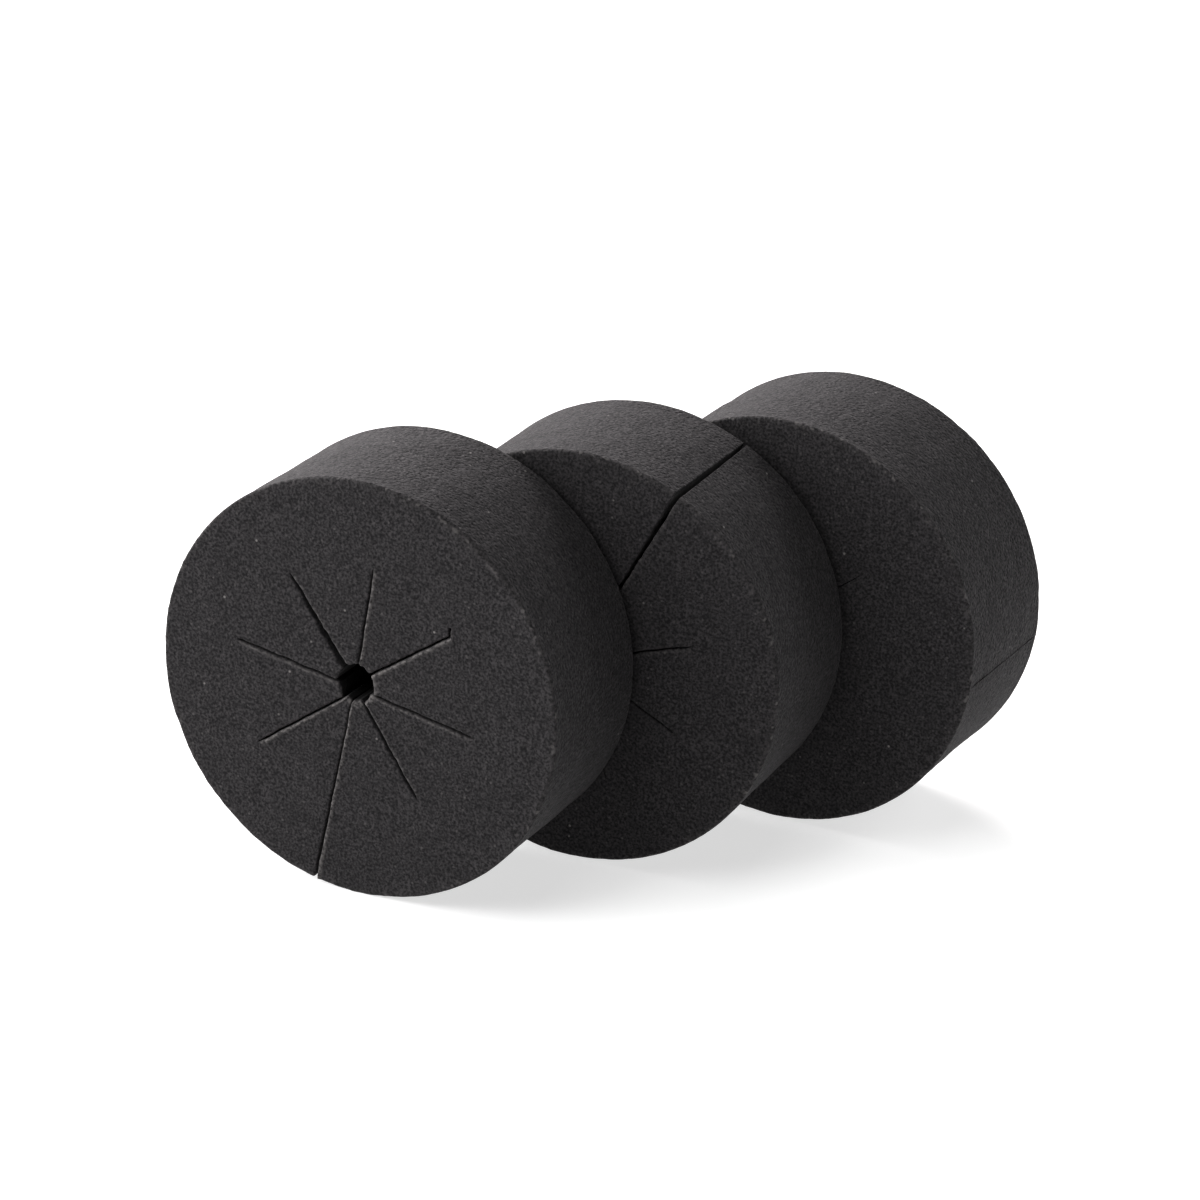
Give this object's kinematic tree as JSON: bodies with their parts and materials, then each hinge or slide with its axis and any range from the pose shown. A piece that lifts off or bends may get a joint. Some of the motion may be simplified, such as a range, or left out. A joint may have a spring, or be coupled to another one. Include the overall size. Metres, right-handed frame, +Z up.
{
  "type": "foam cloning collar set",
  "caption": "Black closed-cell foam discs standing in a staggered row, each with a central stem hole and radial slits, one of them cut to the rim so that the disc opens around a plant stem.",
  "frame": {"origin": "on the ground under the middle of the row, halfway along the set's length and depth", "axes": "+Z up, +X to the right along the row, -Y the way that the front faces look"},
  "size_m": [0.0804, 0.061, 0.048],
  "materials": {
    "foam": "matt black closed-cell foam sheet, fine-grained on the cut faces, with die-cut walls"
  },
  "bodies": {
    "front_segment_1": {"front_segment_1": "foam"},
    "front_segment_2": {"front_segment_2": "foam"},
    "front_segment_3": {"front_segment_3": "foam"},
    "front_segment_4": {"front_segment_4": "foam"},
    "front_segment_5": {"front_segment_5": "foam"},
    "front_segment_6": {"front_segment_6": "foam"},
    "front_segment_7": {"front_segment_7": "foam"},
    "front_segment_8": {"front_segment_8": "foam"},
    "middle_segment_1": {"middle_segment_1": "foam"},
    "middle_segment_2": {"middle_segment_2": "foam"},
    "middle_segment_3": {"middle_segment_3": "foam"},
    "middle_segment_4": {"middle_segment_4": "foam"},
    "middle_segment_5": {"middle_segment_5": "foam"},
    "middle_segment_6": {"middle_segment_6": "foam"},
    "middle_segment_7": {"middle_segment_7": "foam"},
    "middle_segment_8": {"middle_segment_8": "foam"},
    "rear_segment_1": {"rear_segment_1": "foam"},
    "rear_segment_2": {"rear_segment_2": "foam"},
    "rear_segment_3": {"rear_segment_3": "foam"},
    "rear_segment_4": {"rear_segment_4": "foam"},
    "rear_segment_5": {"rear_segment_5": "foam"},
    "rear_segment_6": {"rear_segment_6": "foam"},
    "rear_segment_7": {"rear_segment_7": "foam"},
    "rear_segment_8": {"rear_segment_8": "foam"}
  },
  "joints": [
    {"name": "front_hinge_1", "type": "hinge", "parent": "front_segment_1", "child": "front_segment_2", "pos_m": [-0.00316, -0.02096, 0.00387], "axis": [0, 1, 0], "range_deg": [0, 4], "stiffness_Nm_per_rad": 0.02},
    {"name": "front_hinge_2", "type": "hinge", "parent": "front_segment_2", "child": "front_segment_3", "pos_m": [0.00724, -0.02096, 0.01901], "axis": [0, 1, 0], "range_deg": [0, 4], "stiffness_Nm_per_rad": 0.02},
    {"name": "front_hinge_3", "type": "hinge", "parent": "front_segment_3", "child": "front_segment_4", "pos_m": [0.0039, -0.02096, 0.03707], "axis": [0, 1, 0], "range_deg": [0, 4], "stiffness_Nm_per_rad": 0.02},
    {"name": "front_hinge_4", "type": "hinge", "parent": "front_segment_4", "child": "front_segment_5", "pos_m": [-0.01124, -0.02096, 0.04748], "axis": [0, 1, 0], "range_deg": [0, 4], "stiffness_Nm_per_rad": 0.02},
    {"name": "front_hinge_5", "type": "hinge", "parent": "front_segment_5", "child": "front_segment_6", "pos_m": [-0.0293, -0.02096, 0.04413], "axis": [0, 1, 0], "range_deg": [0, 4], "stiffness_Nm_per_rad": 0.02},
    {"name": "front_hinge_6", "type": "hinge", "parent": "front_segment_6", "child": "front_segment_7", "pos_m": [-0.03971, -0.02096, 0.02899], "axis": [0, 1, 0], "range_deg": [0, 4], "stiffness_Nm_per_rad": 0.02},
    {"name": "front_hinge_7", "type": "hinge", "parent": "front_segment_7", "child": "front_segment_8", "pos_m": [-0.03636, -0.02096, 0.01093], "axis": [0, 1, 0], "range_deg": [0, 4], "stiffness_Nm_per_rad": 0.02},
    {"name": "middle_lift", "type": "slide", "parent": "front_segment_1", "child": "middle_segment_5", "axis": [0, 0, 1], "range_m": [0, 0.06]},
    {"name": "middle_hinge_5", "type": "hinge", "parent": "middle_segment_5", "child": "middle_segment_6", "pos_m": [0.00704, -0.00105, 0.00102], "axis": [-0.0175, 0.9998, 0], "range_deg": [0, 4], "stiffness_Nm_per_rad": 0.02},
    {"name": "middle_hinge_6", "type": "hinge", "parent": "middle_segment_6", "child": "middle_segment_7", "pos_m": [0.02125, -0.0008, 0.01266], "axis": [-0.0175, 0.9998, 0], "range_deg": [0, 4], "stiffness_Nm_per_rad": 0.02},
    {"name": "middle_hinge_7", "type": "hinge", "parent": "middle_segment_7", "child": "middle_segment_8", "pos_m": [0.02307, -0.00077, 0.03094], "axis": [-0.0175, 0.9998, 0], "range_deg": [0, 4], "stiffness_Nm_per_rad": 0.02},
    {"name": "middle_hinge_4", "type": "hinge", "parent": "middle_segment_5", "child": "middle_segment_4", "pos_m": [-0.01124, -0.00136, 0.00285], "axis": [0.0175, -0.9998, 0], "range_deg": [0, 4], "stiffness_Nm_per_rad": 0.02},
    {"name": "middle_hinge_3", "type": "hinge", "parent": "middle_segment_4", "child": "middle_segment_3", "pos_m": [-0.02287, -0.00157, 0.01706], "axis": [0.0175, -0.9998, 0], "range_deg": [0, 4], "stiffness_Nm_per_rad": 0.02},
    {"name": "middle_hinge_2", "type": "hinge", "parent": "middle_segment_3", "child": "middle_segment_2", "pos_m": [-0.02105, -0.00154, 0.03534], "axis": [0.0175, -0.9998, 0], "range_deg": [0, 4], "stiffness_Nm_per_rad": 0.02},
    {"name": "middle_hinge_1", "type": "hinge", "parent": "middle_segment_2", "child": "middle_segment_1", "pos_m": [-0.00683, -0.00129, 0.04698], "axis": [0.0175, -0.9998, 0], "range_deg": [0, 4], "stiffness_Nm_per_rad": 0.02},
    {"name": "rear_lift", "type": "slide", "parent": "front_segment_1", "child": "rear_segment_7", "axis": [0, 0, 1], "range_m": [0, 0.06]},
    {"name": "rear_hinge_7", "type": "hinge", "parent": "rear_segment_7", "child": "rear_segment_8", "pos_m": [0.03052, 0.01895, 0.00509], "axis": [0.0523, 0.9986, 0], "range_deg": [0, 4], "stiffness_Nm_per_rad": 0.02},
    {"name": "rear_hinge_6", "type": "hinge", "parent": "rear_segment_7", "child": "rear_segment_6", "pos_m": [0.01285, 0.01988, 0.00018], "axis": [-0.0523, -0.9986, 0], "range_deg": [0, 4], "stiffness_Nm_per_rad": 0.02},
    {"name": "rear_hinge_5", "type": "hinge", "parent": "rear_segment_6", "child": "rear_segment_5", "pos_m": [-0.00312, 0.02071, 0.00922], "axis": [-0.0523, -0.9986, 0], "range_deg": [0, 4], "stiffness_Nm_per_rad": 0.02},
    {"name": "rear_hinge_4", "type": "hinge", "parent": "rear_segment_5", "child": "rear_segment_4", "pos_m": [-0.00802, 0.02097, 0.02692], "axis": [-0.0523, -0.9986, 0], "range_deg": [0, 4], "stiffness_Nm_per_rad": 0.02},
    {"name": "rear_hinge_3", "type": "hinge", "parent": "rear_segment_4", "child": "rear_segment_3", "pos_m": [0.00101, 0.0205, 0.04291], "axis": [-0.0523, -0.9986, 0], "range_deg": [0, 4], "stiffness_Nm_per_rad": 0.02},
    {"name": "rear_hinge_2", "type": "hinge", "parent": "rear_segment_3", "child": "rear_segment_2", "pos_m": [0.01869, 0.01957, 0.04782], "axis": [-0.0523, -0.9986, 0], "range_deg": [0, 4], "stiffness_Nm_per_rad": 0.02},
    {"name": "rear_hinge_1", "type": "hinge", "parent": "rear_segment_2", "child": "rear_segment_1", "pos_m": [0.03465, 0.01873, 0.03878], "axis": [-0.0523, -0.9986, 0], "range_deg": [0, 4], "stiffness_Nm_per_rad": 0.02}
  ],
  "couplings": [
    {"joint": "front_hinge_2", "follows": "front_hinge_1", "ratio": 1},
    {"joint": "front_hinge_3", "follows": "front_hinge_1", "ratio": 1},
    {"joint": "front_hinge_4", "follows": "front_hinge_1", "ratio": 1},
    {"joint": "front_hinge_5", "follows": "front_hinge_1", "ratio": 1},
    {"joint": "front_hinge_6", "follows": "front_hinge_1", "ratio": 1},
    {"joint": "front_hinge_7", "follows": "front_hinge_1", "ratio": 1},
    {"joint": "middle_hinge_5", "follows": "middle_hinge_4", "ratio": 1},
    {"joint": "middle_hinge_6", "follows": "middle_hinge_4", "ratio": 1},
    {"joint": "middle_hinge_7", "follows": "middle_hinge_4", "ratio": 1},
    {"joint": "middle_hinge_3", "follows": "middle_hinge_4", "ratio": 1},
    {"joint": "middle_hinge_2", "follows": "middle_hinge_4", "ratio": 1},
    {"joint": "middle_hinge_1", "follows": "middle_hinge_4", "ratio": 1},
    {"joint": "rear_hinge_7", "follows": "rear_hinge_6", "ratio": 1},
    {"joint": "rear_hinge_5", "follows": "rear_hinge_6", "ratio": 1},
    {"joint": "rear_hinge_4", "follows": "rear_hinge_6", "ratio": 1},
    {"joint": "rear_hinge_3", "follows": "rear_hinge_6", "ratio": 1},
    {"joint": "rear_hinge_2", "follows": "rear_hinge_6", "ratio": 1},
    {"joint": "rear_hinge_1", "follows": "rear_hinge_6", "ratio": 1}
  ]
}
